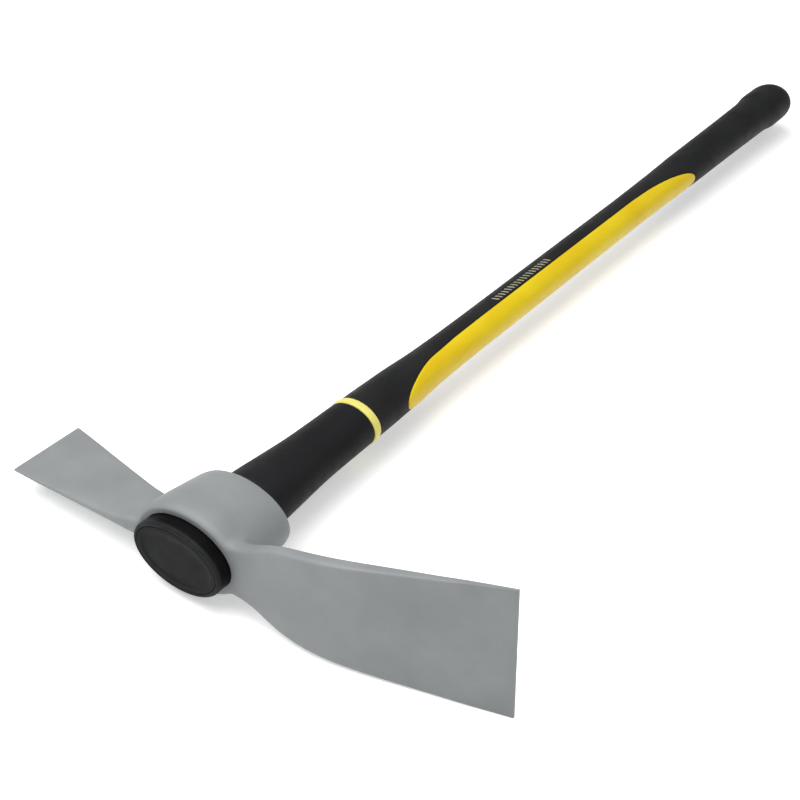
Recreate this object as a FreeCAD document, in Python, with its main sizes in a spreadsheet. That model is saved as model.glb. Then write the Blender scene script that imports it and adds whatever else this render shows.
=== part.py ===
import FreeCAD, Part
import os

import Sketcher
from FreeCAD import Placement, Rotation, Vector

# Cutter mattock ("grub hoe") on a 36 inch moulded fibreglass handle, in millimetres.
#
# Frame: the origin is the middle of the handle's swelled end face. +Y runs along the handle towards
# the knob, +X points at the adze's edge, and +Z is up when the tool lies with the adze's edge upright.
#
# The head is one forging. It drops on over the knob and jams on the handle's swell, and it comes off
# the same way. The handle is a fibreglass core with a swell and a jacket of hard plastic and a rubber
# sleeve and overmould outside them.

# Single sizes: sheet alias, value, what it is.
SIZES = [
    ("head_fit_gap", 0.3, "gap between the eye and the swell all round"),
    ("plug_half_x", 35.0, "half width of the plug in the swell's end"),
    ("plug_half_z", 22.8, "half height of the plug"),
    ("plug_depth", 4.0, "thickness of the plug"),
    ("core_half_x", 12.0, "half width of the fibreglass core"),
    ("core_half_z", 9.4, "half height of the fibreglass core"),
    ("core_end_y", 886.0, "grip end of the core"),
    ("jacket_end_y", 896.0, "grip end of the jacket"),
    ("rubber_thickness", 2.0, "wall of the rubber sleeve and overmould"),
    ("ring_proud", 0.7, "height of the yellow ring above the rubber"),
    ("leaf_half_height", 13.4, "half height of the leaf-shaped window"),
    ("leaf_head_y", 260.0, "where the window reaches its full height"),
    ("leaf_head_reach", 30.0, "length of the window's round end, towards the head"),
    ("leaf_grip_y", 640.0, "where the window starts to narrow"),
    ("leaf_grip_reach", 52.0, "length of the window's round end, towards the knob"),
    ("leaf_depth", 30.0, "reach of the window's outline along +X, past the skin"),
    ("blade_span", 120.0, "length of the blade outlines' extrusions, more than any blade is wide"),
]

# Oval sections along the handle's outside: name, distance from the end face, half width, half height.
SWELL = [
    ("swell_end", 0.0, 36.6, 24.4),
    ("swell_edge", 2.2, 38.5, 26.3),
    ("swell_shoulder", 8.0, 38.2, 26.2),
    ("swell_tail", 74.0, 28.25, 20.2),
]
SLEEVE = [
    ("sleeve_middle", 134.0, 22.75, 17.55),
    ("ring_front", 187.0, 21.45, 17.2),
]
SKIN = [
    ("ring_rear", 194.2, 21.3, 17.1),
    ("waist_start", 215.0, 20.95, 16.8),
    ("waist_upper", 248.0, 19.85, 16.0),
    ("waist_lower", 276.0, 17.95, 14.85),
    ("shaft_start", 310.0, 17.05, 14.25),
    ("shaft_middle", 345.0, 16.8, 14.1),
    ("shaft_end", 590.0, 16.8, 14.1),
    ("grip_rise", 655.0, 17.55, 14.7),
    ("grip_start", 700.0, 18.7, 15.75),
    ("grip_middle", 790.0, 19.45, 16.35),
    ("grip_end", 846.0, 20.3, 17.05),
]
KNOB = [
    ("knob_start", 855.0, 20.6, 17.3),
    ("knob_crown", 866.0, 22.6, 18.95),
    ("knob_turn", 889.0, 22.45, 18.8),
    ("knob_shoulder", 903.0, 20.3, 17.0),
    ("knob_edge", 911.0, 15.0, 12.6),
    ("knob_end", 914.4, 9.1, 7.6),
]
# Oval sections of the barrel of the head, outside.
BARREL = [
    ("barrel_front", 12.0, 42.6, 30.2),
    ("barrel_bevel", 15.5, 45.9, 33.2),
    ("barrel_rear", 66.0, 41.6, 27.4),
    ("barrel_rim", 69.0, 39.8, 25.6),
]

# Blade outlines: name, corners as (u, v), and the radii of the rounded corners by their place.
# The side outlines lie in XY, with v along the handle.
ADZE_SIDE = ("adze_side", [(20, 13.2), (105, 13.2), (227.2, 55.3), (227.2, 56.9), (100, 24.6),
                           (54, 24.6), (46, 60), (20, 60)], {1: 120, 4: 60, 5: 24})
AXE_SIDE = ("axe_side", [(-20, 13.2), (-40, 7.0), (-160, 5.0), (-160, 66.9), (-56, 44.5),
                         (-43, 50), (-20, 50)], {1: 8, 4: 6})
# The other outlines lie in XZ, with v across the blade.
ADZE_FACE = ("adze_face", [(20, 16), (48, 21.5), (76, 37), (227.2, 53), (227.2, -53), (76, -37),
                           (48, -21.5), (20, -16)], {1: 20, 2: 40, 3: 2, 4: 2, 5: 40, 6: 20})
AXE_FACE = ("axe_face", [(-20, 20), (-36, 16), (-48, 7), (-63, 4.4), (-107, 2.6), (-160, 0.8),
                         (-160, -0.8), (-107, -2.6), (-63, -4.4), (-48, -7), (-36, -16),
                         (-20, -20)], {2: 8, 9: 8})

# Directions of the ovals' and sketches' local axes.
ACROSS_HANDLE = Rotation(Vector(1, 0, 0), 90)
ALONG_HANDLE = Rotation(Vector(1, 1, 1), 120)

doc = FreeCAD.newDocument("cutter_mattock")
sheet = doc.addObject("Spreadsheet::Sheet", "Dimensions")


def add_cell(row, alias, value, note):
    sheet.set(f"A{row}", alias)
    sheet.set(f"B{row}", str(value))
    sheet.setAlias(f"B{row}", alias)
    sheet.set(f"C{row}", note)


def fill_sheet():
    """Write every driving dimension to a cell of its own."""
    cells = list(SIZES)
    for name, along, half_x, half_z in SWELL + SLEEVE + SKIN + KNOB + BARREL:
        cells.append((f"{name}_y", along, "distance from the swell's end face"))
        cells.append((f"{name}_half_x", half_x, "half width"))
        cells.append((f"{name}_half_z", half_z, "half height"))
    for name, corners, radii in (ADZE_SIDE, AXE_SIDE, ADZE_FACE, AXE_FACE):
        for place, (u, v) in enumerate(corners):
            cells.append((f"{name}_{place}_u", u, "corner, along X"))
            cells.append((f"{name}_{place}_v", v, "corner, across"))
        for place, radius in radii.items():
            cells.append((f"{name}_{place}_radius", radius, "corner radius"))
    for row, (alias, value, note) in enumerate(cells, start=1):
        add_cell(row, alias, value, note)
    doc.recompute()


def oval(name, along, half_x, half_z, rotation=ACROSS_HANDLE):
    """An ellipse whose sizes and place along the handle are sheet expressions."""
    curve = doc.addObject("Part::Ellipse", name)
    curve.Placement = Placement(Vector(0, 0, 0), rotation)
    curve.setExpression("MajorRadius", half_x)
    curve.setExpression("MinorRadius", half_z)
    curve.setExpression("Placement.Base.y", along)
    return curve


def loft(name, stations, offset=""):
    """A solid through the named oval sections, grown or shrunk by an expression such as '+ Sheet.cell'."""
    body = doc.addObject("Part::Loft", name)
    body.Sections = [
        oval(f"{name}_{station}", f"Dimensions.{station}_y", f"Dimensions.{station}_half_x {offset}",
             f"Dimensions.{station}_half_z {offset}")
        for station in stations
    ]
    body.Solid = True
    body.Ruled = True
    return body


def extrude(name, base, direction, length, symmetric=False):
    body = doc.addObject("Part::Extrusion", name)
    body.Base = base
    body.DirMode = "Custom"
    body.Dir = direction
    body.setExpression("LengthFwd", length)
    body.Solid = True
    body.Symmetric = symmetric
    return body


def combine(kind, name, pieces):
    """A Part::MultiFuse or Part::MultiCommon of several solids."""
    body = doc.addObject(kind, name)
    body.Shapes = pieces
    return body


def cut(name, base, tool):
    body = doc.addObject("Part::Cut", name)
    body.Base = base
    body.Tool = tool
    return body


def outline_sketch(outline, rotation=Rotation()):
    """A closed sketch through an outline's corners, each held by two sheet cells, some of them rounded."""
    name, corners, radii = outline
    sketch = doc.addObject("Sketcher::SketchObject", name)
    sketch.Placement = Placement(Vector(0, 0, 0), rotation)
    points = [Vector(u, v, 0) for u, v in corners]
    count = len(points)
    for place in range(count):
        sketch.addGeometry(Part.LineSegment(points[place], points[(place + 1) % count]), False)
    for place in range(count):
        sketch.addConstraint(Sketcher.Constraint("Coincident", place, 2, (place + 1) % count, 1))
    for place, point in enumerate(points):
        for kind, letter, value in (("DistanceX", "u", point.x), ("DistanceY", "v", point.y)):
            label = f"{name}_{place}_{letter}"
            index = sketch.addConstraint(Sketcher.Constraint(kind, -1, 1, place, 1, value))
            sketch.renameConstraint(index, label)
            sketch.setExpression(f"Constraints.{label}", f"Dimensions.{label}")
    doc.recompute()
    for place, radius in radii.items():
        round_corner(sketch, name, points, place, radius)
    doc.recompute()
    return sketch


def round_corner(sketch, name, points, place, radius):
    """Round one corner of a sketch by a tangent arc whose radius is bound to its cell."""
    before = (place - 1) % len(points)
    corner = points[place]
    to_before = (points[before] - corner).normalize()
    to_after = (points[(place + 1) % len(points)] - corner).normalize()
    sketch.fillet(before, place, corner + to_before, corner + to_after, float(radius), True, True)
    arc = max(index for index, item in enumerate(sketch.Geometry) if isinstance(item, Part.ArcOfCircle))
    label = f"{name}_{place}_radius"
    index = sketch.addConstraint(Sketcher.Constraint("Radius", arc, float(radius)))
    sketch.renameConstraint(index, label)
    sketch.setExpression(f"Constraints.{label}", f"Dimensions.{label}")


def names(*tables):
    return [row[0] for table in tables for row in table]


def make_blade(name, side, face):
    """The part common to a blade's side outline and its face outline."""
    side_solid = extrude(f"{name}_side_solid", outline_sketch(side), Vector(0, 0, 1),
                         "Dimensions.blade_span", symmetric=True)
    face_solid = extrude(f"{name}_face_solid", outline_sketch(face, ACROSS_HANDLE), Vector(0, 1, 0),
                         "Dimensions.blade_span")
    return combine("Part::MultiCommon", name, [side_solid, face_solid])


def make_head():
    """The forging: barrel, adze and axe in one, with the tapered eye cut through it."""
    barrel = loft("barrel", names(BARREL))
    adze = make_blade("adze", ADZE_SIDE, ADZE_FACE)
    axe = make_blade("axe", AXE_SIDE, AXE_FACE)
    forging = combine("Part::MultiFuse", "forging", [barrel, adze, axe])
    eye = loft("eye", ["swell_edge", "swell_shoulder", "swell_tail"], "+ Dimensions.head_fit_gap")
    return cut("mattock_head", forging, eye)


def make_core():
    section = oval("core_section", "Dimensions.plug_depth", "Dimensions.core_half_x",
                   "Dimensions.core_half_z")
    return extrude("fibreglass_core", section, Vector(0, 1, 0),
                   "Dimensions.core_end_y - Dimensions.plug_depth")


def make_plug():
    section = oval("plug_section", "0", "Dimensions.plug_half_x", "Dimensions.plug_half_z")
    return extrude("swell_plug", section, Vector(0, 1, 0), "Dimensions.plug_depth")


def make_swell(plug, core):
    """The hard black swell, hollow for the core and let in for the plug."""
    filling = combine("Part::MultiFuse", "swell_filling", [plug, core])
    return cut("eye_swell", loft("swell_outside", names(SWELL)), filling)


def make_jacket_base():
    """The jacket's solid shape under the rubber, before the core is taken out."""
    stations = ["swell_tail"] + names(SLEEVE, SKIN)
    base = loft("jacket_inner", stations, "- Dimensions.rubber_thickness")
    end = oval("jacket_end", "Dimensions.jacket_end_y",
               "Dimensions.grip_end_half_x - Dimensions.rubber_thickness",
               "Dimensions.grip_end_half_z - Dimensions.rubber_thickness")
    base.Sections = base.Sections + [end]
    return base


def make_leaf():
    """The window's outline as a solid along +X: two half ellipses joined by a straight stretch."""
    ends = []
    for name in ("head", "grip"):
        section = oval(f"leaf_{name}", f"Dimensions.leaf_{name}_y", f"Dimensions.leaf_{name}_reach",
                       "Dimensions.leaf_half_height", ALONG_HANDLE)
        ends.append(extrude(f"leaf_{name}_solid", section, Vector(1, 0, 0), "Dimensions.leaf_depth"))
    middle = doc.addObject("Part::Box", "leaf_middle")
    middle.setExpression("Length", "Dimensions.leaf_depth")
    middle.setExpression("Width", "Dimensions.leaf_grip_y - Dimensions.leaf_head_y")
    middle.setExpression("Height", "2 * Dimensions.leaf_half_height")
    middle.setExpression("Placement.Base.y", "Dimensions.leaf_head_y")
    middle.setExpression("Placement.Base.z", "-Dimensions.leaf_half_height")
    return combine("Part::MultiFuse", "leaf", ends + [middle])


def make_skin():
    return loft("skin_outside", names(SKIN, KNOB))


def make_jacket(base, core, leaf, skin):
    """The yellow jacket: hidden base, the ring, and the panel that fills the window flush."""
    ring = loft("ring", ["ring_front", "ring_rear"], "+ Dimensions.ring_proud")
    panel = combine("Part::MultiCommon", "panel", [skin, leaf])
    solid = combine("Part::MultiFuse", "jacket_solid", [base, ring, panel])
    return cut("handle_jacket", solid, core)


def make_sleeve(base):
    outside = loft("sleeve_outside", ["swell_tail"] + names(SLEEVE))
    return cut("lower_sleeve", outside, base)


def make_overmould(base, leaf, skin):
    filling = combine("Part::MultiFuse", "overmould_filling", [base, leaf])
    return cut("grip_overmould", skin, filling)


def check(objects):
    """Stop if any object failed to compute, or if a piece's shape is empty or broken."""
    failed = [item.Name for item in doc.Objects if {"Invalid", "Error"} & set(item.State)]
    if failed:
        raise RuntimeError(f"objects failed: {failed}")
    for item in objects:
        shape = item.Shape
        if shape.isNull() or not shape.isValid() or len(shape.Solids) != 1:
            raise RuntimeError(f"{item.Name} is not one valid solid")
        print(f"{item.Name}: {shape.Volume / 1000:.1f} cm3")


fill_sheet()
plug = make_plug()
core = make_core()
jacket_base = make_jacket_base()
leaf = make_leaf()
skin = make_skin()
pieces = [
    make_head(),
    make_swell(plug, core),
    plug,
    core,
    make_jacket(jacket_base, core, leaf, skin),
    make_sleeve(jacket_base),
    make_overmould(jacket_base, leaf, skin),
]
doc.recompute()
check(pieces)

os.makedirs("parts", exist_ok=True)
for piece in pieces:
    piece.Label = piece.Name
    piece.Shape.exportStep(os.path.join("parts", f"{piece.Label}.step"))
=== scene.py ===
import math

import bmesh
import bpy
from mathutils import Matrix, Vector
from mathutils.bvhtree import BVHTree
from mathutils.kdtree import KDTree


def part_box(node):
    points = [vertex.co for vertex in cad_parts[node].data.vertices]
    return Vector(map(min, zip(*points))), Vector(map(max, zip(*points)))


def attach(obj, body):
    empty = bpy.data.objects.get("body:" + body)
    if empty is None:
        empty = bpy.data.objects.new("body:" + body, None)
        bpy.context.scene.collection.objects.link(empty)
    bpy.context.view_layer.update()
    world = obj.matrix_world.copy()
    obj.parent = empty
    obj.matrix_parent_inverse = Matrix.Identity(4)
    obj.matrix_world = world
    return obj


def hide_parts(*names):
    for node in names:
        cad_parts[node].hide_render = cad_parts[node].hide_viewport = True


# A cutter mattock: a forged head with an adze and an axe blade, on a long moulded two-tone handle.
#
# The frame is the CAD model's. The origin is the middle of the handle's swelled end face, +Y runs
# along the handle to its knob, and +X points at the adze's edge. Lengths of the tool are in
# millimetres, and each mesh is scaled to metres when it is made. Lamps are placed in metres.

MM = 0.001
AROUND = 96  # points in a ring of the handle
RUBBER_WALL = 2.0  # thickness of the rubber sleeve and grip
CORE_HALF_X, CORE_HALF_Z = 12.0, 9.4  # the core's true oval, which its facets fall short of
RIM_Y, REAR_Y = 12.0, 69.0  # front and rear faces of the steel round the eye
KNOB_Y = 888.0  # where the knob's dome starts

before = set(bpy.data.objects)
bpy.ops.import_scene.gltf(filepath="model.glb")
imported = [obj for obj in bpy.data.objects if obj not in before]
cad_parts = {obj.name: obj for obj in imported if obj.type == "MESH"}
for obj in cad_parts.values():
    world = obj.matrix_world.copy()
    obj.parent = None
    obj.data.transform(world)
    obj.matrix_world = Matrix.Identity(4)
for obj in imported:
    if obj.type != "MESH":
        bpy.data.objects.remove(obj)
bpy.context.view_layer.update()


# ---------------------------------------------------------------- sizes read from the frame

def node_box(node):
    """A CAD node's lowest and highest corner, in millimetres."""
    low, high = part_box(node)
    return low / MM, high / MM


HEAD_LOW, HEAD_HIGH = node_box("mattock_head")
SWELL_LOW, SWELL_HIGH = node_box("eye_swell")
SLEEVE_LOW, SLEEVE_HIGH = node_box("lower_sleeve")
GRIP_LOW, GRIP_HIGH = node_box("grip_overmould")
_, PLUG_HIGH = node_box("swell_plug")

# Stretches along the handle where a ray meets the full oval, clear of end faces and rounded ends.
SWELL_SPAN = (SWELL_LOW.y + 3, SWELL_HIGH.y - 0.1)
SLEEVE_SPAN = (SLEEVE_LOW.y + 0.2, SLEEVE_HIGH.y - 0.2)
GRIP_SPAN = (GRIP_LOW.y + 0.2, KNOB_Y)


class Skin:
    """The outside of a CAD node along the handle, found by rays from above and from the -X side."""

    def __init__(self, node):
        graph = bpy.context.evaluated_depsgraph_get()
        self.tree = BVHTree.FromObject(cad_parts[node], graph)

    def reach(self, y, side):
        """Distance from the handle's middle out to the skin on one side."""
        middle = Vector((0, y * MM, 0))
        point = self.tree.ray_cast(middle + side, -side)[0]
        return abs((point - middle).dot(side)) / MM

    def half_sizes(self, y):
        """Half width along X and half height along Z at a place along the handle."""
        return self.reach(y, Vector((-1, 0, 0))), self.reach(y, Vector((0, 0, 1)))

    def smooth(self, y, spread, lowest, highest):
        """Half sizes averaged over a stretch, so the CAD's straight runs meet without corners."""
        places = [y + spread * step / 4 for step in range(-4, 5)]
        sizes = [self.half_sizes(min(max(place, lowest), highest)) for place in places]
        return tuple(sum(size[axis] for size in sizes) / len(sizes) for axis in (0, 1))


# ---------------------------------------------------------------- mesh helpers

def make_piece(name, points, faces, body, material, nodes):
    """A mesh piece in the frame, with its body, finish, slot and the CAD nodes it stands for."""
    mesh = bpy.data.meshes.new(name)
    mesh.from_pydata([Vector(point) * MM for point in points], [], faces)
    shell = bmesh.new()
    shell.from_mesh(mesh)
    bmesh.ops.remove_doubles(shell, verts=shell.verts, dist=0.00001)
    bmesh.ops.recalc_face_normals(shell, faces=shell.faces)
    shell.to_mesh(mesh)
    shell.free()
    mesh.shade_smooth()
    piece = bpy.data.objects.new(name, mesh)
    bpy.context.scene.collection.objects.link(piece)
    mesh.materials.append(material)
    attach(piece, body)
    if nodes:
        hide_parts(*nodes)


def ring(y, half_x, half_z, count=AROUND):
    """Points of an oval across the handle."""
    turns = [2 * math.pi * step / count for step in range(count)]
    return [(half_x * math.cos(turn), y, half_z * math.sin(turn)) for turn in turns]


def loft(rings, closed=False):
    """Points and faces of a skin through rings: capped at both ends, or closed on itself."""
    count = len(rings[0])
    points = [point for one in rings for point in one]
    spans = len(rings) if closed else len(rings) - 1
    faces = []
    for row in range(spans):
        here, there = row * count, (row + 1) % len(rings) * count
        for place in range(count):
            after = (place + 1) % count
            faces.append((here + place, here + after, there + after, there + place))
    if not closed:
        faces.append(tuple(range(count)))
        faces.append(tuple(len(points) - count + place for place in range(count)))
    return points, faces


def grid_faces(first, rows, columns):
    """Quads of a grid of points that are stored row by row from a first place."""
    starts = [first + row * columns + column
              for row in range(rows - 1) for column in range(columns - 1)]
    return [(here, here + 1, here + columns + 1, here + columns) for here in starts]


def side_faces(rows, columns, depth):
    """Quads down both sides of some rows of a grid, to a second grid that lies depth places on."""
    edges = [row * columns + column for row in rows for column in (0, columns - 1)]
    return [(here, here + columns, here + columns + depth, here + depth) for here in edges]


def arc(start, end, steps):
    """Angles from start to end degrees, in radians."""
    return [math.radians(start + (end - start) * step / steps) for step in range(steps + 1)]


# ---------------------------------------------------------------- materials

class Nodes:
    """A material's node tree, built by short calls."""

    def __init__(self, name):
        self.material = bpy.data.materials.new(name)
        self.material.use_nodes = True
        self.tree = self.material.node_tree
        self.shader = self.tree.nodes["Principled BSDF"]
        self.place = self.add("ShaderNodeTexCoord").outputs["Object"]

    def add(self, kind, **values):
        """A new node with some of its properties set."""
        node = self.tree.nodes.new(kind)
        for key, value in values.items():
            setattr(node, key, value)
        return node

    def link(self, source, target):
        self.tree.links.new(source, target)

    def constant(self, **values):
        """Sets the shader's own inputs, with _ for the spaces in their names."""
        for key, value in values.items():
            self.shader.inputs[key.replace("_", " ")].default_value = value

    def stretched(self, scale):
        """The object's coordinates scaled along each axis."""
        mapping = self.add("ShaderNodeMapping")
        mapping.inputs["Scale"].default_value = scale
        self.link(self.place, mapping.inputs["Vector"])
        return mapping.outputs["Vector"]

    def noise(self, scale, detail=3.0, roughness=0.5, vector=None):
        """Cloudy noise between 0 and 1."""
        node = self.add("ShaderNodeTexNoise")
        node.inputs["Scale"].default_value = scale
        node.inputs["Detail"].default_value = detail
        node.inputs["Roughness"].default_value = roughness
        self.link(vector or self.place, node.inputs["Vector"])
        return node.outputs["Fac"]

    def cells(self, scale):
        """Distance to the nearest of scattered points, for a pebbled grain."""
        node = self.add("ShaderNodeTexVoronoi")
        node.inputs["Scale"].default_value = scale
        self.link(self.place, node.inputs["Vector"])
        return node.outputs["Distance"]

    def ramp(self, value, stops):
        """A colour ramp through (position, colour) stops."""
        node = self.add("ShaderNodeValToRGB")
        elements = node.color_ramp.elements
        while len(elements) < len(stops):
            elements.new(0.5)
        for element, (position, colour) in zip(elements, stops):
            element.position = position
            element.color = (*colour, 1)
        self.link(value, node.inputs["Fac"])
        return node.outputs["Color"]

    def mix(self, factor, first, second):
        """A blend of two colours, by the node's colour sockets: inputs 0, 6 and 7, output 2."""
        node = self.add("ShaderNodeMix", data_type="RGBA")
        for place, value in ((0, factor), (6, first), (7, second)):
            if isinstance(value, bpy.types.NodeSocket):
                self.link(value, node.inputs[place])
            else:
                node.inputs[place].default_value = (*value, 1)
        return node.outputs[2]

    def between(self, value, low, high, new_low, new_high):
        """A value's range mapped to a new one, and held at its ends."""
        node = self.add("ShaderNodeMapRange")
        for socket, number in zip(list(node.inputs)[1:5], (low, high, new_low, new_high)):
            socket.default_value = number
        self.link(value, node.inputs["Value"])
        return node.outputs["Result"]

    def bump(self, layers):
        """Stacks bumps of (height, depth in millimetres) on the shader's normal."""
        normal = None
        for height, depth in layers:
            node = self.add("ShaderNodeBump")
            node.inputs["Strength"].default_value = 1.0
            node.inputs["Distance"].default_value = depth * MM
            self.link(height, node.inputs["Height"])
            if normal:
                self.link(normal, node.inputs["Normal"])
            normal = node.outputs["Normal"]
        self.link(normal, self.shader.inputs["Normal"])

    def edges(self):
        """Near 1 on worn outer edges, 0 elsewhere."""
        sharpness = self.add("ShaderNodeNewGeometry").outputs["Pointiness"]
        return self.between(sharpness, 0.52, 0.58, 0.0, 1.0)

    def set(self, socket, value):
        """Drives one of the shader's inputs."""
        self.link(value, self.shader.inputs[socket])


def head_paint():
    """Satin silver-grey coat on forged steel: faint clouds, fine orange peel, and rubbed edges."""
    m = Nodes("head_paint")
    m.constant(Metallic=0.1, Specular_IOR_Level=0.3)
    dark, light = (0.192, 0.204, 0.208), (0.224, 0.237, 0.241)
    clouds = m.ramp(m.noise(28, 5), [(0.3, dark), (0.7, light)])
    specks = m.between(m.noise(900, 2), 0.55, 0.75, 0.0, 0.35)
    coat = m.mix(specks, clouds, (0.163, 0.171, 0.175))
    wear = m.mix(m.edges(), coat, (0.262, 0.269, 0.272))
    m.set("Base Color", wear)
    m.set("Roughness", m.between(m.noise(60, 4), 0.3, 0.7, 0.5, 0.62))
    m.bump([(m.noise(22, 2), 0.5), (m.noise(450, 3), 0.06), (m.noise(1500, 2), 0.015)])
    return m.material


def moulded_black(name, dark, light, roughness, grain, shine=0.14):
    """Hard black plastic or rubber with a fine moulded grain and slight scuffs."""
    m = Nodes(name)
    m.constant(Specular_IOR_Level=shine)
    clouds = m.ramp(m.noise(45, 4, vector=m.stretched((1, 0.4, 1))), [(0.35, dark), (0.7, light)])
    scuffs = m.between(m.noise(160, 6, 0.7), 0.6, 0.8, 0.0, 0.5)
    m.set("Base Color", m.mix(scuffs, clouds, tuple(2 * value for value in light)))
    m.set("Roughness", m.between(m.noise(90, 4), 0.3, 0.7, roughness - 0.07, roughness + 0.07))
    m.bump([(m.cells(grain), 0.12), (m.noise(2 * grain, 2), 0.04)])
    return m.material


def yellow_plastic(name, deep, pale):
    """Semi-gloss yellow plastic with slight shifts in hue and a few fine scratches along it."""
    m = Nodes(name)
    m.constant(Coat_Weight=0.05, Coat_Roughness=0.2, Specular_IOR_Level=0.18)
    hue = m.ramp(m.noise(30, 3, vector=m.stretched((1, 0.5, 1))), [(0.3, deep), (0.7, pale)])
    lines = m.between(m.noise(220, 4, 0.6, m.stretched((1, 0.06, 1))), 0.62, 0.8, 0.0, 0.3)
    m.set("Base Color", m.mix(lines, hue, (0.75, 0.66, 0.16)))
    m.set("Roughness", m.between(m.noise(120, 4), 0.3, 0.7, 0.3, 0.42))
    m.bump([(m.noise(70, 3), 0.08), (m.noise(900, 2), 0.015)])
    return m.material


def fibreglass():
    """Pultruded rod: resin the colour of straw with glass fibres along the handle."""
    m = Nodes("fibreglass")
    resin, glass = (0.5, 0.42, 0.2), (0.72, 0.66, 0.42)
    fibres = m.noise(900, 3, 0.6, m.stretched((1, 0.02, 1)))
    m.set("Base Color", m.ramp(fibres, [(0.35, resin), (0.65, glass)]))
    m.set("Roughness", m.between(fibres, 0.3, 0.7, 0.3, 0.5))
    m.bump([(fibres, 0.05)])
    return m.material


def printed_mark():
    """Worn pale print."""
    m = Nodes("printed_mark")
    worn, whole = (0.14, 0.135, 0.085), (0.34, 0.325, 0.22)
    m.set("Base Color", m.ramp(m.noise(700, 4), [(0.35, worn), (0.6, whole)]))
    m.set("Roughness", m.between(m.noise(300, 2), 0.3, 0.7, 0.45, 0.6))
    m.bump([(m.noise(900, 2), 0.02)])
    return m.material


def floor_finish():
    """Pale backlit sheet, as on a light table, which keeps the shadows soft."""
    m = Nodes("floor_finish")
    m.constant(Roughness=0.9, Emission_Color=(1, 1, 1, 1), Emission_Strength=0.4)
    m.set("Base Color", m.ramp(m.noise(3, 2), [(0.3, (0.76,) * 3), (0.7, (0.78,) * 3)]))
    return m.material


# ---------------------------------------------------------------- the forged head

COLUMNS = 30  # control points round the barrel, 12 degrees apart
FAR_SIDE = COLUMNS // 2  # the column on the -X side, where the axe grows
EYE_GAP = 0.3  # between the eye and the swell
# A ring of cubic control points gives a smaller round, by this much.
ROUND_GROWTH = 6 / (4 + 2 * math.cos(2 * math.pi / COLUMNS))

# Rings of the barrel's control cage outside: y, half width, half height, crease.
BARREL = [
    (RIM_Y, 42.6, 30.2, 0.35),
    (15.0, 45.7, 33.0, 0.1),
    (24.6, 45.7, 32.9, 0.0),
    (42.0, 44.0, 30.7, 0.0),
    (65.5, 41.7, 27.6, 0.2),
    (REAR_Y, 39.9, 25.7, 0.5),
]
# Rings of the cage inside the eye, from the rear: y, how far it flares from the bore, crease.
EYE = [
    (REAR_Y, 1.0, 0.6),
    (REAR_Y - 1, 0.0, 0.6),
    (41.0, 0.0, 0.0),
    (RIM_Y + 1, 0.0, 0.6),
    (RIM_Y, 0.2, 0.8),
]
# How far the front rim comes forward at the axe's root, by columns away from the far side.
RIM_FORWARD = [4.2, 3.2, 1.0, 0.3]
# Stations of the adze: x, front y, rear y, half width, crease along its corners.
ADZE = [
    (52.0, 13.2, 24.6, 23.6, 0.0),
    (62.0, 13.2, 23.8, 29.4, 0.0),
    (74.0, 13.2, 23.4, 34.8, 0.0),
    (90.0, 13.2, 24.4, 38.1, 0.05),
    (108.0, 15.6, 27.2, 40.4, 0.12),
    (128.0, 20.6, 31.4, 42.6, 0.2),
    (178.0, 38.0, 44.2, 48.0, 0.3),
    (HEAD_HIGH.x, 55.3, 56.9, HEAD_HIGH.z, 0.5),
]
# Stations of the axe: x, front y, rear y, half thickness, crease along its corners.
AXE = [
    (-51.0, 7.2, 44.6, 7.0, 0.0),
    (-58.0, 6.4, 45.8, 4.8, 0.0),
    (-72.0, 5.8, 48.8, 3.6, 0.0),
    (-107.0, 5.2, 56.2, 2.4, 0.1),
    (HEAD_LOW.x, 5.0, 66.9, 0.8, 0.4),
]


def boundary(grid):
    """The outer vertices of a grid, once round."""
    down, up = [row[-1] for row in grid[1:-1]], [row[0] for row in grid[-2:0:-1]]
    return grid[0] + down + grid[-1][::-1] + up


def corners(grid):
    """The four corner vertices of a grid, in the same order as its boundary."""
    return [grid[0][0], grid[0][-1], grid[-1][-1], grid[-1][0]]


def band(cage, first, second):
    """Quads between two loops of the same length."""
    for place in range(len(first)):
        after = (place + 1) % len(first)
        cage.faces.new((first[place], first[after], second[after], second[place]))


def crease_edge(cage, first, second, amount):
    """Sharpens the edge between two vertices, if there is one: a blade's root has none."""
    edge = cage.edges.get((first, second))
    if edge:
        edge[cage.edges.layers.float["crease_edge"]] = amount


def crease_loop(cage, loop, amount):
    """Sharpens a closed loop of edges."""
    for place, vertex in enumerate(loop):
        crease_edge(cage, vertex, loop[(place + 1) % len(loop)], amount)


def blade_grid(x, front, rear, half_z, rows, columns):
    """A station's points: rows from front to rear, columns from -Z to +Z."""
    return [[(x * MM, (front + (rear - front) * row / (rows - 1)) * MM,
              half_z * (2 * column / (columns - 1) - 1) * MM)
             for column in range(columns)] for row in range(rows)]


def station_vertices(cage, grid, solid):
    """A station's vertices: all of them if it closes the blade, or else its outline only."""
    made = []
    for row in grid:
        if solid or row in (grid[0], grid[-1]):
            made.append([cage.verts.new(point) for point in row])
        else:
            inside = [None] * (len(row) - 2)
            made.append([cage.verts.new(row[0]), *inside, cage.verts.new(row[-1])])
    return made


def grow_blade(cage, root, stations):
    """Extends a hole in the barrel through a blade's stations, and closes it with the last one.

    The root is a grid of the barrel's vertices, rows from front to rear and columns across it."""
    loop, old_corners = boundary(root), corners(root)
    for station in stations:
        *sizes, crease = station
        grid = blade_grid(*sizes, len(root), len(root[0]))
        made = station_vertices(cage, grid, station is stations[-1])
        band(cage, loop, boundary(made))
        for old, new in zip(old_corners, corners(made)):
            crease_edge(cage, old, new, crease)
        loop, old_corners = boundary(made), corners(made)
    for upper, lower in zip(made, made[1:]):
        for place in range(len(upper) - 1):
            cage.faces.new((upper[place], upper[place + 1], lower[place + 1], lower[place]))
    crease_loop(cage, loop, 1.0)


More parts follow.
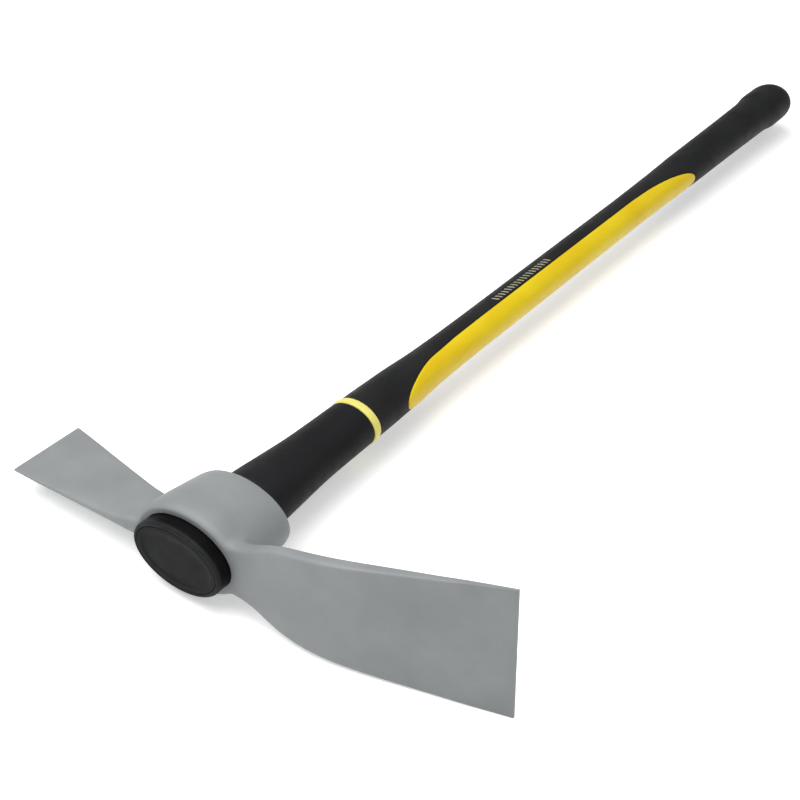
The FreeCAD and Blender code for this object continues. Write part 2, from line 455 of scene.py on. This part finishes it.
def grow_barrel(cage, adze_columns, axe_columns):
    """The barrel's cage round the eye, open where the blades grow: its rings and their creases."""
    sections = list(BARREL)
    for y, flare, crease in EYE:
        half_x, half_z = swell_skin.smooth(y, 1.0, *SWELL_SPAN)
        sections.append((y, half_x + EYE_GAP + flare, half_z + EYE_GAP + flare, crease))
    rings = []
    for y, half_x, half_z, _ in sections:
        points = ring(y, half_x * ROUND_GROWTH, half_z * ROUND_GROWTH, COLUMNS)
        rings.append([cage.verts.new(Vector(point) * MM) for point in points])
    # The rim comes forward at the axe's root, and the next ring follows half way.
    for away, forward in enumerate(RIM_FORWARD):
        for column in {FAR_SIDE - away, FAR_SIDE + away}:
            rings[0][column].co.y -= forward * MM
            rings[1][column].co.y -= 0.5 * forward * MM

    holes = [(row, column % COLUMNS) for row in (0, 1) for column in adze_columns[:-1]]
    holes += [(row, column) for row in (0, 1, 2) for column in axe_columns[1:]]
    for row, here in enumerate(rings):
        there = rings[(row + 1) % len(rings)]
        for column in range(COLUMNS):
            if (row, column) not in holes:
                after = (column + 1) % COLUMNS
                cage.faces.new((here[column], here[after], there[after], there[column]))
    return rings, [crease for *_, crease in sections]


def make_head():
    """The forged head: a coarse cage, smoothed by subdivision, with coated edges."""
    cage = bmesh.new()
    cage.edges.layers.float.new("crease_edge")
    adze_columns = list(range(-3, 4))
    axe_columns = [FAR_SIDE + 1, FAR_SIDE, FAR_SIDE - 1]
    rings, creases = grow_barrel(cage, adze_columns, axe_columns)
    grow_blade(cage, [[rings[row][column] for column in adze_columns] for row in range(3)], ADZE)
    grow_blade(cage, [[rings[row][column] for column in axe_columns] for row in range(4)], AXE)
    for loop, crease in zip(rings, creases):
        crease_loop(cage, loop, crease)

    bmesh.ops.recalc_face_normals(cage, faces=cage.faces)
    mesh = bpy.data.meshes.new("forged_head")
    cage.to_mesh(mesh)
    cage.free()
    mesh.shade_smooth()
    head = bpy.data.objects.new("forged_head", mesh)
    bpy.context.scene.collection.objects.link(head)
    smooth = head.modifiers.new("forging", "SUBSURF")
    smooth.levels = smooth.render_levels = 3
    rounding = head.modifiers.new("coated_edges", "BEVEL")
    rounding.width = 0.5 * MM
    rounding.segments = 2
    rounding.limit_method = "ANGLE"
    rounding.angle_limit = math.radians(38)
    mesh.materials.append(head_paint())
    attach(head, "head")
    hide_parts("mattock_head")


# ---------------------------------------------------------------- the handle's swell and plug

def swell_plastic():
    """Glossless black plastic, grey on its end face and near black down its side: the near black is
    painted shade, for the gap under the steel rim.
    """
    m = Nodes("swell_plastic")
    m.constant(Specular_IOR_Level=0.06)
    along = m.add("ShaderNodeSeparateXYZ")
    m.link(m.place, along.inputs["Vector"])
    # Painted shade: from 1.8 to 3.6 mm behind the end face the grey turns near black, standing for
    # the shade on the side wall under the steel.
    side = m.between(along.outputs["Y"], 1.8 * MM, 3.6 * MM, 0.0, 1.0)
    grey, pale_grey = (0.012, 0.0125, 0.0135), (0.019, 0.02, 0.021)
    black, soft_black = (0.0022, 0.0022, 0.0025), (0.004, 0.004, 0.0044)
    end_face_grey = m.ramp(m.noise(120, 5, 0.6), [(0.35, grey), (0.7, pale_grey)])
    # The near black of the side wall is painted shade.
    smooth = m.ramp(m.noise(50, 4), [(0.35, black), (0.7, soft_black)])
    m.set("Base Color", m.mix(side, end_face_grey, smooth))
    m.set("Roughness", m.between(m.noise(90, 4), 0.3, 0.7, 0.42, 0.58))
    m.bump([(m.cells(900), 0.1), (m.noise(1800, 2), 0.03)])
    return m.material


def make_swell(material):
    """The swell that the head jams on: a rounded end with a seat for the plug, and a long taper."""
    edge, stations = 2.4, 12  # radius of the rounded end, and rings along the taper
    seat_gap, lead_in, lead_depth = 0.2, 0.4, 0.5  # the plug's seat, and the chamfer at its mouth
    front_x, front_z = swell_skin.half_sizes(SWELL_SPAN[0])
    rings = []
    for turn in arc(90, 0, 8):
        inset = edge * (1 - math.cos(turn))
        rings.append(ring(edge * (1 - math.sin(turn)), front_x - inset, front_z - inset))
    for step in range(1, stations + 1):
        y = edge + (SWELL_HIGH.y - edge) * step / stations
        rings.append(ring(y, *swell_skin.smooth(y, 2.0, *SWELL_SPAN)))
    rings.append(ring(SWELL_HIGH.y, CORE_HALF_X, CORE_HALF_Z))
    rings.append(ring(PLUG_HIGH.y, CORE_HALF_X, CORE_HALF_Z))
    seat_x, seat_z = PLUG_HIGH.x + seat_gap, PLUG_HIGH.z + seat_gap
    rings.append(ring(PLUG_HIGH.y, seat_x, seat_z))
    rings.append(ring(lead_depth, seat_x, seat_z))
    rings.append(ring(0.0, seat_x + lead_in, seat_z + lead_in))
    points, faces = loft(rings, closed=True)
    make_piece("swell", points, faces, "handle", material, ["eye_swell"])


def make_plug(material):
    """The oval plug: a shallow dish with a raised border."""
    # Inset from the plug's outline and depth below the end face, from the border to the middle.
    dish = [(3.6, 0.1), (4.2, 0.2), (4.8, 0.45), (5.6, 0.6), (9.0, 0.6), (15.0, 0.55), (20.0, 0.5)]
    edge_y, edge, taper = 0.5, 0.4, 0.3
    half_x, half_z = PLUG_HIGH.x, PLUG_HIGH.z
    rings = [ring(PLUG_HIGH.y, half_x - taper, half_z - taper), ring(edge_y, half_x, half_z)]
    for turn in arc(0, 90, 4):
        inset = edge * (1 - math.cos(turn))
        rings.append(ring(edge_y - edge * math.sin(turn), half_x - inset, half_z - inset))
    for inset, y in dish:
        rings.append(ring(y, half_x - inset, half_z - inset))
    points, faces = loft(rings)
    make_piece("plug", points, faces, "handle", material, ["swell_plug"])


# ---------------------------------------------------------------- sleeve, ring and grip

SLEEVE_SPREAD = 14.0  # how far each way the sleeve's sections are averaged


def make_sleeve(material):
    """The rubber sleeve between the head and the ring."""
    edge, stations = 0.9, 48  # radius of the edge at the ring, and rings along the sleeve
    start, end = SLEEVE_LOW.y, SLEEVE_HIGH.y
    sections = []
    for step in range(stations + 1):
        y = start + (end - start) * step / stations
        sections.append((y, *sleeve_skin.smooth(y, SLEEVE_SPREAD, *SLEEVE_SPAN)))
    _, end_x, end_z = sections[-1]
    rings = [ring(*section) for section in sections[:-1]]
    for turn in arc(0, 90, 5):
        inset = edge * (1 - math.cos(turn))
        rings.append(ring(end - edge + edge * math.sin(turn), end_x - inset, end_z - inset))
    for y, half_x, half_z in reversed(sections):
        rings.append(ring(y, half_x - RUBBER_WALL, half_z - RUBBER_WALL))
    points, faces = loft(rings, closed=True)
    make_piece("sleeve", points, faces, "handle", material, ["lower_sleeve"])


def make_ring(material):
    """The yellow ring between the sleeve and the grip, slightly crowned."""
    gap, depth = 0.1, 2.0
    crown, sunk_edge = 1.5, 0.7  # rise of the crown from the ring's edges, and their depth
    start, end = SLEEVE_HIGH.y + gap, GRIP_LOW.y - gap
    half_x, half_z = sleeve_skin.half_sizes(SLEEVE_SPAN[1])
    rings = [ring(start, half_x - depth, half_z - depth)]
    for turn in arc(180, 0, 12):
        rise = crown * math.sin(turn) ** 0.5 - sunk_edge
        y = (start + end) / 2 + (end - start) / 2 * math.cos(turn)
        rings.append(ring(y, half_x + rise, half_z + rise))
    rings.append(ring(end, half_x - depth, half_z - depth))
    points, faces = loft(rings, closed=True)
    make_piece("yellow_ring", points, faces, "handle", material,
               ["handle_jacket"])


# The leaf-shaped window faces +X. Each end is a squarish half oval: where it starts, how long it
# is, and the power of its curve, which is 2 for an ellipse.
LEAF_HALF = 13.5
HEAD_END = (280.0, 50.0, 2.3)
GRIP_END = (600.0, 92.5, 2.6)
LEAF_START, LEAF_END = HEAD_END[0] - HEAD_END[1], GRIP_END[0] + GRIP_END[1]
KNOB_POWER = 2.5  # the power of the knob's dome
# Distances of rows from the window's two tips, inwards, and of the first of them outwards too.
TIP_ROWS = [0, 0.01, 0.04, 0.12, 0.3, 0.6, 1, 1.6, 2.4, 3.4, 4.8, 6.6, 9, 12, 16, 21]
OUTER_TIP_ROWS = TIP_ROWS[:12]


def leaf_half_height(y):
    """Half the window's height at a place along the handle: 0 outside the window."""
    if y <= LEAF_START or y >= LEAF_END:
        return 0.0
    start, reach, power = HEAD_END if y < HEAD_END[0] else GRIP_END
    along = abs(y - start) / reach if y < HEAD_END[0] or y > GRIP_END[0] else 0.0
    return LEAF_HALF * (1 - along ** power) ** (1 / power)


def grip_half_sizes(y):
    """Half sizes of the grip's outside, with the knob's round end."""
    half_x, half_z = grip_skin.smooth(min(y, KNOB_Y), 4.0, *GRIP_SPAN)
    if y > KNOB_Y:
        share = (1 - ((y - KNOB_Y) / (GRIP_HIGH.y - KNOB_Y)) ** KNOB_POWER) ** (1 / KNOB_POWER)
        return half_x * share, half_z * share
    return half_x, half_z


def leaf_angle(y, half_z):
    """The turn from +X to the window's edge."""
    return math.asin(min(1.0, leaf_half_height(y) / half_z))


def leaf_rows(outside):
    """Places along the handle, close together at the window's two tips."""
    rows = set()
    for tip, inwards in ((LEAF_START, 1), (LEAF_END, -1)):
        rows |= {tip + inwards * offset for offset in TIP_ROWS}
        if outside:
            rows |= {tip - inwards * offset for offset in OUTER_TIP_ROWS}
    inner_start, inner_end = LEAF_START + TIP_ROWS[-1], LEAF_END - TIP_ROWS[-1]
    steps = 90
    rows |= {inner_start + (inner_end - inner_start) * step / steps for step in range(steps + 1)}
    return sorted(rows)


def leaf_edge_tree():
    """The window's outline as a search tree of close points."""
    steps = 6000
    tree = KDTree(2 * (steps + 1))
    for step in range(steps + 1):
        turn = math.pi * step / steps
        y = (LEAF_START + LEAF_END) / 2 - (LEAF_END - LEAF_START) / 2 * math.cos(turn)
        half_x, half_z = grip_half_sizes(y)
        angle = leaf_angle(y, half_z)
        for side in (0, 1):
            place = (half_x * math.cos(angle), y, half_z * math.sin(angle) * (1 - 2 * side))
            tree.insert(place, 2 * step + side)
    tree.balance()
    return tree


def rolled(distance, radius):
    """How far a rounded edge has dropped at a distance from it."""
    if distance >= radius:
        return 0.0
    return radius - math.sqrt(radius ** 2 - (radius - distance) ** 2)


def sunk(angle, y, half_x, half_z, depth):
    """A point of an oval, moved inwards by a depth."""
    return ((half_x - depth) * math.cos(angle), y, (half_z - depth) * math.sin(angle))


# Distances of the overmould's columns from the window's edge, close together where it is rounded.
EDGE_COLUMNS = [0, 0.06, 0.16, 0.32, 0.55, 0.8, 1.3, 2.2]


def grip_rows():
    """Places of the overmould's rows: close at both ends and round the window's tips."""
    start, margin = GRIP_LOW.y, 7  # the margin is just more than the rows outside a tip take up
    rows = [start + offset for offset in (0.001, 0.15, 0.5, 1, 2)]
    rows += [start + 2 + (LEAF_START - margin - start - 2) * step / 10 for step in range(1, 10)]
    rows += leaf_rows(outside=True)
    rows += [LEAF_END + margin + (KNOB_Y - LEAF_END - margin) * step / 50 for step in range(1, 51)]
    rows += [KNOB_Y + (GRIP_HIGH.y - KNOB_Y) * math.sin(turn) for turn in arc(0, 88, 22)[1:]]
    return rows


def column_angles(half_x, half_z, y):
    """Angles of a row's points, from the window's upper edge once round to its lower edge."""
    opening = leaf_angle(y, half_z)
    speed = math.hypot(half_x * math.sin(opening), half_z * math.cos(opening))
    edges = [opening + step / speed for step in EDGE_COLUMNS]
    span = 2 * math.pi - 2 * edges[-1]
    middle = [edges[-1] + span * step / (AROUND + 1) for step in range(1, AROUND + 1)]
    return edges + middle + [2 * math.pi - angle for angle in reversed(edges)]


def make_overmould(material, edge_tree):
    """The rubber grip with the leaf-shaped window in its +X side, closed at the knob."""
    roll = 0.8  # radius of its edges at the ring and round the window
    reach = 3.0  # how far past the window's tips that edge is looked for
    rows = grip_rows()
    inner_rows = [y for y in rows if y < KNOB_Y]
    columns = len(EDGE_COLUMNS) * 2 + AROUND
    points = []
    for y in rows:
        half_x, half_z = grip_half_sizes(y)
        near_window = LEAF_START - reach < y < LEAF_END + reach
        for angle in column_angles(half_x, half_z, y):
            place = sunk(angle, y, half_x, half_z, 0)
            depth = rolled(y - GRIP_LOW.y, roll)
            if near_window and place[0] > 0:
                depth = max(depth, rolled(edge_tree.find(place)[2], roll))
            points.append(sunk(angle, y, half_x, half_z, depth))
    inside = len(points)
    for y in inner_rows:
        half_x, half_z = grip_half_sizes(y)
        points += [sunk(angle, y, half_x, half_z, RUBBER_WALL)
                   for angle in column_angles(half_x, half_z, y)]

    faces = grid_faces(0, len(rows), columns)
    faces += grid_faces(inside, len(inner_rows), columns)
    faces += [(here, here + 1, inside + here + 1, inside + here) for here in range(columns - 1)]
    # The window's rows, from tip to tip, where its edge is walled.
    window_rows = [row for row in range(len(inner_rows) - 1)
                   if LEAF_START - 0.01 < rows[row] < LEAF_END - 0.01]
    faces += side_faces(window_rows, columns, inside)
    for first in (inside - columns, len(points) - columns):
        faces.append(tuple(range(first, first + columns - 1)))
    make_piece("grip", points, faces, "handle", material, ["grip_overmould"])


def make_leaf_panel(material, edge_tree):
    """The yellow panel that fills the window, its rounded border standing a little proud."""
    proud, roll, gap, depth = 0.35, 1.5, 0.06, 2.0
    # Columns across the panel, from -1 to 1, closer together towards its borders.
    across = [-1 + 2 * step / 24 for step in range(25)]
    shares = sorted({math.copysign(1 - (1 - abs(value)) ** 1.6, value) for value in across})
    rows = leaf_rows(outside=False)
    points = []
    for on_top in (True, False):
        for y in rows:
            half_x, half_z = grip_half_sizes(y)
            opening = max(0.0, leaf_angle(y, half_z) - gap / half_z)
            for share in shares:
                place = sunk(share * opening, y, half_x, half_z, 0)
                drop = rolled(edge_tree.find(place)[2], roll) - proud if on_top else depth
                points.append(sunk(share * opening, y, half_x, half_z, drop))
    columns, inside = len(shares), len(points) // 2
    faces = grid_faces(0, len(rows), columns) + grid_faces(inside, len(rows), columns)
    faces += side_faces(range(len(rows) - 1), columns, inside)
    make_piece("leaf_panel", points, faces, "handle", material,
               ["handle_jacket"])


def make_jacket_tube(material):
    """The jacket under the rubber, round the core: the ring and the panel stand on it."""
    start, end, stations = SWELL_HIGH.y + 0.5, 894.0, 60
    gap, shaft_end = 0.1, 840.0  # clearance on both sides, and where the skin rises to the knob
    outside, inside = [], []
    for step in range(stations + 1):
        y = start + (end - start) * step / stations
        if y < GRIP_LOW.y:
            half_x, half_z = sleeve_skin.smooth(y, SLEEVE_SPREAD, *SLEEVE_SPAN)
        else:
            half_x, half_z = grip_skin.smooth(y, 7.0, GRIP_SPAN[0], shaft_end)
        outside.append(ring(y, half_x - RUBBER_WALL - gap, half_z - RUBBER_WALL - gap))
        inside.append(ring(y, CORE_HALF_X + gap, CORE_HALF_Z + gap))
    points, faces = loft(outside + inside[::-1], closed=True)
    make_piece("jacket_tube", points, faces, "handle", material,
               ["handle_jacket"])


def make_mark(material):
    """A generic printed row of slanting bars on the stripe, in place of lettering."""
    first, pitch, count = 377.0, 4.6, 18
    half_length, half_width, slant = 2.9, 0.85, 1.2  # half of a bar's size, and its lean
    lift, root, pieces = 0.08, -0.3, 6  # its top above the rubber, its foot below, steps along it
    # The outline of a bar's section, as height above the rubber and place along the handle.
    outline = ((root, -half_width), (root, half_width), (lift, half_width), (lift, -half_width))
    points, faces = [], []
    for bar in range(count):
        base = len(points)
        for step in range(pieces + 1):
            across = half_length * (2 * step / pieces - 1)
            for height, along in outline:
                y = first + pitch * bar + along + slant * across / half_length
                half_x, half_z = grip_half_sizes(y)
                points.append(sunk(math.acos(across / half_x), y, half_x, half_z, -height))
        for here in range(base, base + 4 * pieces, 4):
            for side in range(4):
                after = (side + 1) % 4
                faces.append((here + side, here + after, here + 4 + after, here + 4 + side))
        end = base + 4 * pieces
        faces += [(base, base + 1, base + 2, base + 3), (end + 3, end + 2, end + 1, end)]
    make_piece("printed_bars", points, faces, "handle", material, [])


# ---------------------------------------------------------------- floor, light and camera

SKY, BACKDROP = 0.32, 0.65  # strength of the world above and below the horizon
FLOOR_HALF = 30.0  # half the floor's width, in metres


def lowest_of_head(within=1000.0):
    """The head's lowest point, within a distance of the handle's middle along X."""
    places = [vertex.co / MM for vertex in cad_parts["mattock_head"].data.vertices]
    return min((place for place in places if abs(place.x) <= within), key=lambda place: place.z)


def make_floor():
    """A wide pale floor under the adze's corner and the barrel.

    It is level with the handle, so that the head slides along it."""
    clearance = 0.4
    barrel = lowest_of_head(within=25.0)
    up = (lowest_of_head() - barrel).cross(Vector((0, 1, 0))).normalized()
    up = up if up.z > 0 else -up
    corners_around = [(x * FLOOR_HALF, y * FLOOR_HALF, 0)
                      for x, y in ((-1, -1), (1, -1), (1, 1), (-1, 1))]
    mesh = bpy.data.meshes.new("floor")
    mesh.from_pydata(corners_around, [], [(0, 1, 2, 3)])
    floor = bpy.data.objects.new("floor", mesh)
    tilt = up.to_track_quat("Z", "Y").to_matrix().to_4x4()
    floor.matrix_world = Matrix.Translation((barrel - up * clearance) * MM) @ tilt
    mesh.materials.append(floor_finish())
    bpy.context.scene.collection.objects.link(floor)


def make_world():
    """Even light from above, and below the horizon a backdrop as bright as the far floor."""
    world = bpy.data.worlds.new("studio")
    world.use_nodes = True
    tree = world.node_tree
    background = tree.nodes["Background"]
    background.inputs["Color"].default_value = (1, 1, 1, 1)
    direction = tree.nodes.new("ShaderNodeSeparateXYZ")
    outwards = tree.nodes.new("ShaderNodeTexCoord").outputs["Generated"]
    tree.links.new(outwards, direction.inputs["Vector"])
    fade = tree.nodes.new("ShaderNodeMapRange")
    for socket, value in zip(list(fade.inputs)[1:5], (-0.02, 0.02, BACKDROP, SKY)):
        socket.default_value = value
    tree.links.new(direction.outputs["Z"], fade.inputs["Value"])
    tree.links.new(fade.outputs["Result"], background.inputs["Strength"])
    return world


def add_light(name, place, target, size, power):
    """A round white lamp aimed at a point. Places and size are in metres."""
    lamp = bpy.data.lights.new(name, "AREA")
    lamp.shape = "DISK"
    lamp.size = size
    lamp.energy = power
    light = bpy.data.objects.new(name, lamp)
    light.location = place
    light.rotation_euler = (Vector(target) - Vector(place)).to_track_quat("-Z", "Y").to_euler()
    bpy.context.scene.collection.objects.link(light)


def make_lights():
    """A broad key lamp overhead, a weaker one on the adze's side, and the world."""
    middle = (0.0, 0.35, 0.0)
    add_light("key", (-0.4, -0.3, 2.3), middle, 2.8, 88)
    add_light("fill", (1.5, -0.2, 1.8), middle, 2.0, 13)
    bpy.context.scene.world = make_world()


def make_camera():
    """The camera, aimed by azimuth, elevation and roll at a point near the middle of the tool."""
    azimuth, elevation, roll = math.radians(36.97), math.radians(34.67), math.radians(-0.9)
    distance, target = 1196.4, Vector((-29.5, 285.1, -45.7))
    level = math.cos(elevation)
    back = Vector((math.sin(azimuth) * level, -math.cos(azimuth) * level, math.sin(elevation)))
    camera = bpy.data.objects.new("camera", bpy.data.cameras.new("camera"))
    camera.data.lens = 67.1
    camera.data.sensor_width = 36.0
    camera.data.clip_start = 0.05
    facing = back.to_track_quat("Z", "Y").to_matrix() @ Matrix.Rotation(roll, 3, "Z")
    camera.matrix_world = Matrix.Translation((target + back * distance) * MM) @ facing.to_4x4()
    bpy.context.scene.collection.objects.link(camera)
    bpy.context.scene.camera = camera


# ---------------------------------------------------------------- the whole tool

swell_skin = Skin("eye_swell")
sleeve_skin = Skin("lower_sleeve")
grip_skin = Skin("grip_overmould")

make_camera()
make_lights()
make_floor()

yellow = yellow_plastic("yellow_plastic", (0.57, 0.38, 0.005), (0.63, 0.485, 0.010))
make_head()
make_swell(swell_plastic())
make_plug(moulded_black("plug_plastic", (0.006, 0.0064, 0.0068), (0.010, 0.0105, 0.0112),
                        roughness=0.55, grain=700, shine=0.07))
make_sleeve(moulded_black("sleeve_rubber", (0.0052, 0.0054, 0.0062), (0.0085, 0.0088, 0.0098),
                          roughness=0.6, grain=1100))
# The ring is the panel's plastic in a paler yellow: painted highlight for the light that its proud
# crown catches.
make_ring(yellow_plastic("ring_plastic_painted_highlight", (0.60, 0.54, 0.13), (0.66, 0.61, 0.17)))
window_edge = leaf_edge_tree()
grip_rubber = moulded_black("grip_rubber", (0.007, 0.0074, 0.0074), (0.0128, 0.0132, 0.0132),
                            roughness=0.58, grain=1000)
make_overmould(grip_rubber, window_edge)
make_leaf_panel(yellow, window_edge)
make_jacket_tube(yellow)
make_mark(printed_mark())
core_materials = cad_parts["fibreglass_core"].data.materials
core_materials.clear()
core_materials.append(fibreglass())

bpy.context.scene.view_settings.view_transform = "Standard"
